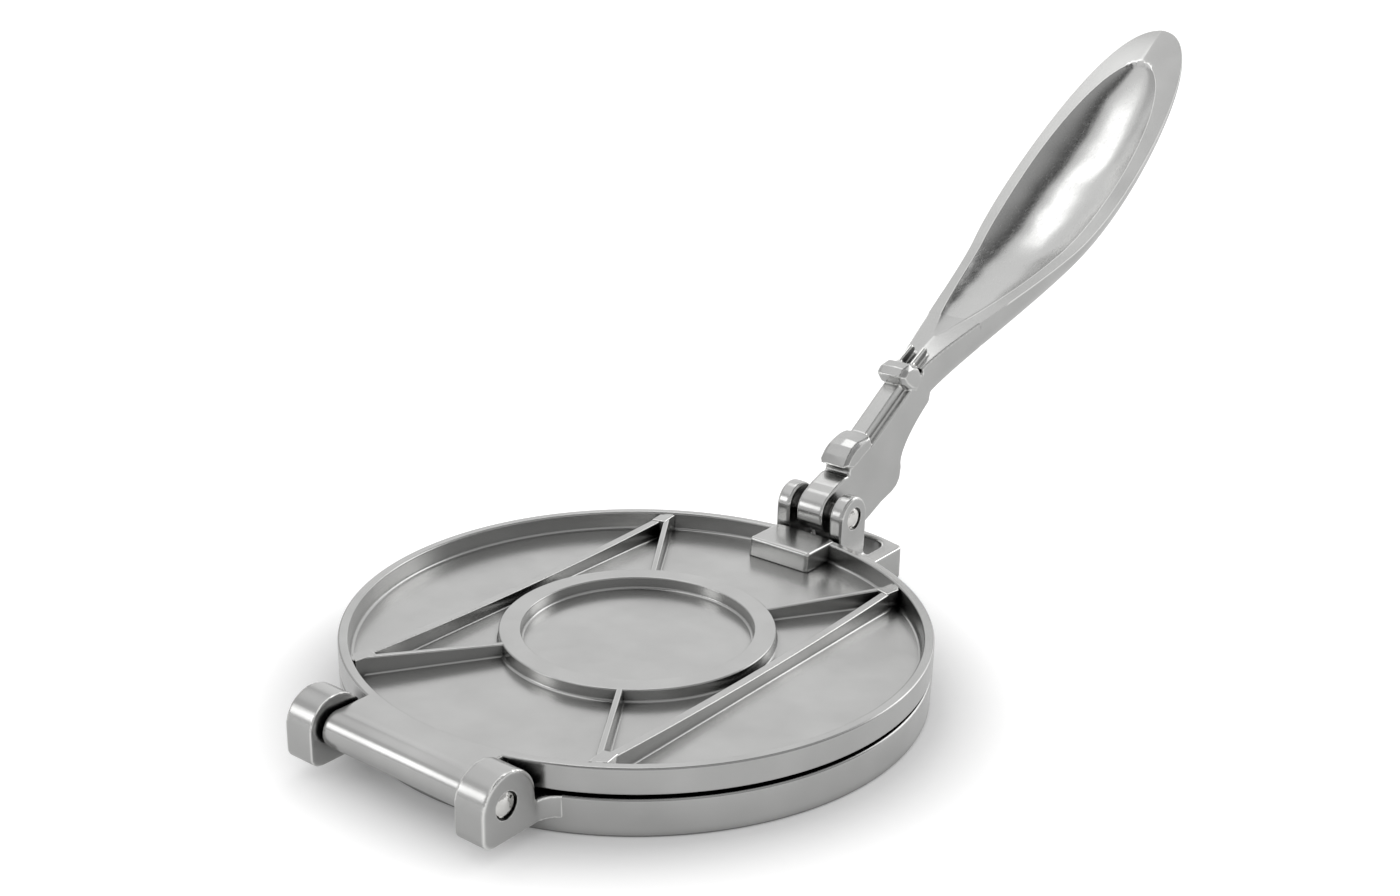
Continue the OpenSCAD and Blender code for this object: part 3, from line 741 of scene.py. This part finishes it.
def glow_sheet(name, axis, start, stop, dark, light):
    """A sheet that glows for painted reflections, graded along one axis from dark at start to light at stop.
    """
    material, output = new_material(name)
    tree = material.node_tree
    place = add_node(tree, "ShaderNodeTexCoord").outputs["Object"]
    along = add_node(tree, "ShaderNodeSeparateXYZ", {"Vector": place}).outputs[axis]
    grade = add_node(tree, "ShaderNodeMapRange", {"Value": along}, interpolation_type="SMOOTHSTEP",
                     from_min=start, from_max=stop, to_min=dark, to_max=light)
    tone = add_node(tree, "ShaderNodeEmission", {"Strength": grade.outputs["Result"]})
    tone.inputs["Color"].default_value = (1, 1, 1, 1)
    tree.links.new(tone.outputs[0], output.inputs["Surface"])
    return material


flag_r, flag_low, flag_top, roof_end = 1.3, 0.1, 1.2, 0.13
wall_cloth = glow_sheet("wall_cloth", 1, -0.6, 1.1, 0.42, 0.62)
roof_cloth = glow_sheet("roof_cloth", 1, -0.45, 0.0, 0.5, 0.05)
turns = [math.radians(k) for k in range(60, 316, 15)]
posts = [(flag_r * math.cos(k), flag_r * math.sin(k)) for k in turns]
flags = [plane("flag_%d" % k, [(*a, flag_low), (*b, flag_low), (*b, flag_top), (*a, flag_top)],
               wall_cloth)
         for k, (a, b) in enumerate(zip(posts, posts[1:]))]
flags.append(plane("flag_above", [(-flag_r, -flag_r, flag_top), (flag_r, -flag_r, flag_top),
                                  (flag_r, roof_end, flag_top), (-flag_r, roof_end, flag_top)],
                   roof_cloth))
# These sheets glow and show only in reflections, as painted reflections of a dimmer room.
for flag in flags:
    flag.visible_camera = False
    flag.visible_diffuse = False
    flag.visible_shadow = False

world = bpy.data.worlds.new("studio")
bpy.context.scene.world = world
world.use_nodes = True
tree = world.node_tree
tree.nodes.clear()
fill = add_node(tree, "ShaderNodeBackground", strength=0.75)
fill.inputs["Color"].default_value = (1, 1, 1, 1)
white = add_node(tree, "ShaderNodeBackground", strength=1.0)
white.inputs["Color"].default_value = (1, 1, 1, 1)
mixed = add_node(tree, "ShaderNodeMixShader",
                 {0: shows_white(tree), 1: fill.outputs[0], 2: white.outputs[0]})
add_node(tree, "ShaderNodeOutputWorld", {"Surface": mixed.outputs[0]})


def softbox(name, place, aim, size, power):
    """A square area lamp at place, turned towards aim."""
    lamp = bpy.data.lights.new(name, "AREA")
    lamp.size = size
    lamp.energy = power
    holder = add_object(name, lamp)
    holder.location = place
    holder.rotation_euler = (Vector(place) - Vector(aim)).to_track_quat("Z", "Y").to_euler()


softbox("back_softbox", (0.38, 0.4, 0.87), (0.2, 0, 0.1), 0.25, 0.3)
softbox("front_softbox", (0.95, -0.35, 0.55), (0, 0, 0), 0.6, 1.6)
softbox("side_softbox", (-0.7, 0.6, 0.36), (-0.05, 0, 0), 0.3, 0.6)

aim = Vector((27.9, 0.7, 61.9)) * mm
azimuth, elevation, roll = (math.radians(a) for a in (-52.28, 19.99, 1.05))
stand_off = 509.7 * mm
back = Vector((math.sin(azimuth) * math.cos(elevation),
               -math.cos(azimuth) * math.cos(elevation), math.sin(elevation)))
camera_data = bpy.data.cameras.new("camera")
camera_data.sensor_width = 36
camera_data.lens = 46.29
camera_data.clip_start = 0.01
camera = add_object("camera", camera_data)
camera.location = aim + back * stand_off
camera.rotation_mode = "QUATERNION"
camera.rotation_quaternion = Quaternion(back, roll) @ back.to_track_quat("Z", "Y")
bpy.context.scene.camera = camera
bpy.context.scene.view_settings.view_transform = "Standard"
